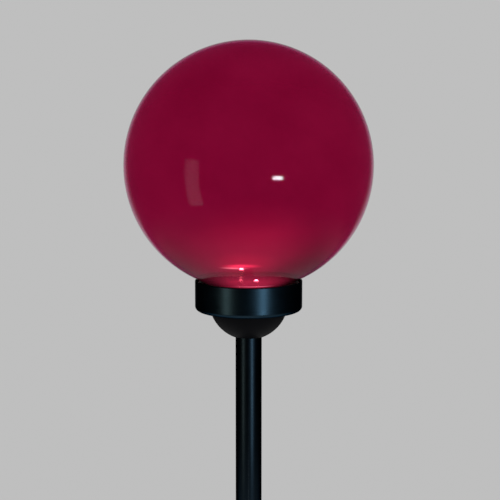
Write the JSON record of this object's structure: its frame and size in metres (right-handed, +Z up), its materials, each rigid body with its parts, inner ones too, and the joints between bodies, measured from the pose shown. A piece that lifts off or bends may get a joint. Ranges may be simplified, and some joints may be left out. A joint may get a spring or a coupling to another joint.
{
  "type": "garden globe light",
  "caption": "Stake light for a garden: a see-through crimson ball on a short metal collar, with a round cup, a pole in two lengths and a finned ground spike.",
  "frame": {"origin": "on the pole's axis at soil level, on the underside of the spike's flange", "axes": "+Z up along the pole to the globe; -Y is the front of the light"},
  "size_m": [0.2, 0.2, 0.74],
  "materials": {
    "globe_crimson": "clear crimson, glossy",
    "gunmetal": "satin black-nickel",
    "cup_plastic": "fine matt texture",
    "black_plastic": "smooth black",
    "seal_rubber": "silicone, matt",
    "screw_steel": "zinc plated",
    "panel_face": "blue-black cells under clear resin",
    "led_lens": "clear lens, lit red",
    "board_green": "solder mask",
    "chip_black": "moulded",
    "cell_wrap": "shrink sleeve",
    "contact_metal": "nickel plated",
    "wire_cover": "insulated wire",
    "switch_white": "moulded"
  },
  "bodies": {
    "stake": {"ground_spike": "cup_plastic"},
    "lower_pole": {"pole_lower": "gunmetal", "pole_coupler": "cup_plastic"},
    "upper_pole": {"pole_upper": "gunmetal"},
    "head": {"globe_ring": "black_plastic", "collar": "gunmetal", "housing_base": "black_plastic", "housing_lid": "black_plastic", "lid_seal": "seal_rubber", "lid_screws": "screw_steel", "solar_panel": "panel_face", "led_rear": "led_lens", "led_front": "led_lens", "main_board": "board_green", "board_chip": "chip_black", "board_inductor": "chip_black", "battery_cell": "cell_wrap", "battery_contact": "contact_metal", "battery_spring": "contact_metal", "battery_leads": "wire_cover", "panel_leads": "wire_cover", "led_leads": "wire_cover", "switch_body": "contact_metal", "cup": "cup_plastic", "cup_screws": "screw_steel"},
    "globe_seal": {"globe_gasket": "seal_rubber"},
    "globe": {"globe": "globe_crimson"},
    "switch": {"switch_slider": "switch_white"}
  },
  "joints": [
    {"name": "lower_pole_lift", "type": "slide", "parent": "stake", "child": "lower_pole", "axis": [0, 0, 1], "range_m": [0, 0.03]},
    {"name": "upper_pole_lift", "type": "slide", "parent": "lower_pole", "child": "upper_pole", "axis": [0, 0, 1], "range_m": [0, 0.028]},
    {"name": "head_lift", "type": "slide", "parent": "upper_pole", "child": "head", "axis": [0, 0, 1], "range_m": [0, 0.019]},
    {"name": "globe_lift", "type": "slide", "parent": "head", "child": "globe_seal", "axis": [0, 0, 1], "range_m": [0, 0.012]},
    {"name": "globe_turn", "type": "hinge", "parent": "globe_seal", "child": "globe", "pos_m": [0, 0, 0.4], "axis": [0, 0, 1], "range_deg": [0, 180]},
    {"name": "switch_slide", "type": "slide", "parent": "head", "child": "switch", "axis": [1, 0, 0], "range_m": [0, 0.004]}
  ],
  "couplings": [
    {"joint": "globe_lift", "follows": "globe_turn", "m_per_rad": 0.0038197}
  ]
}
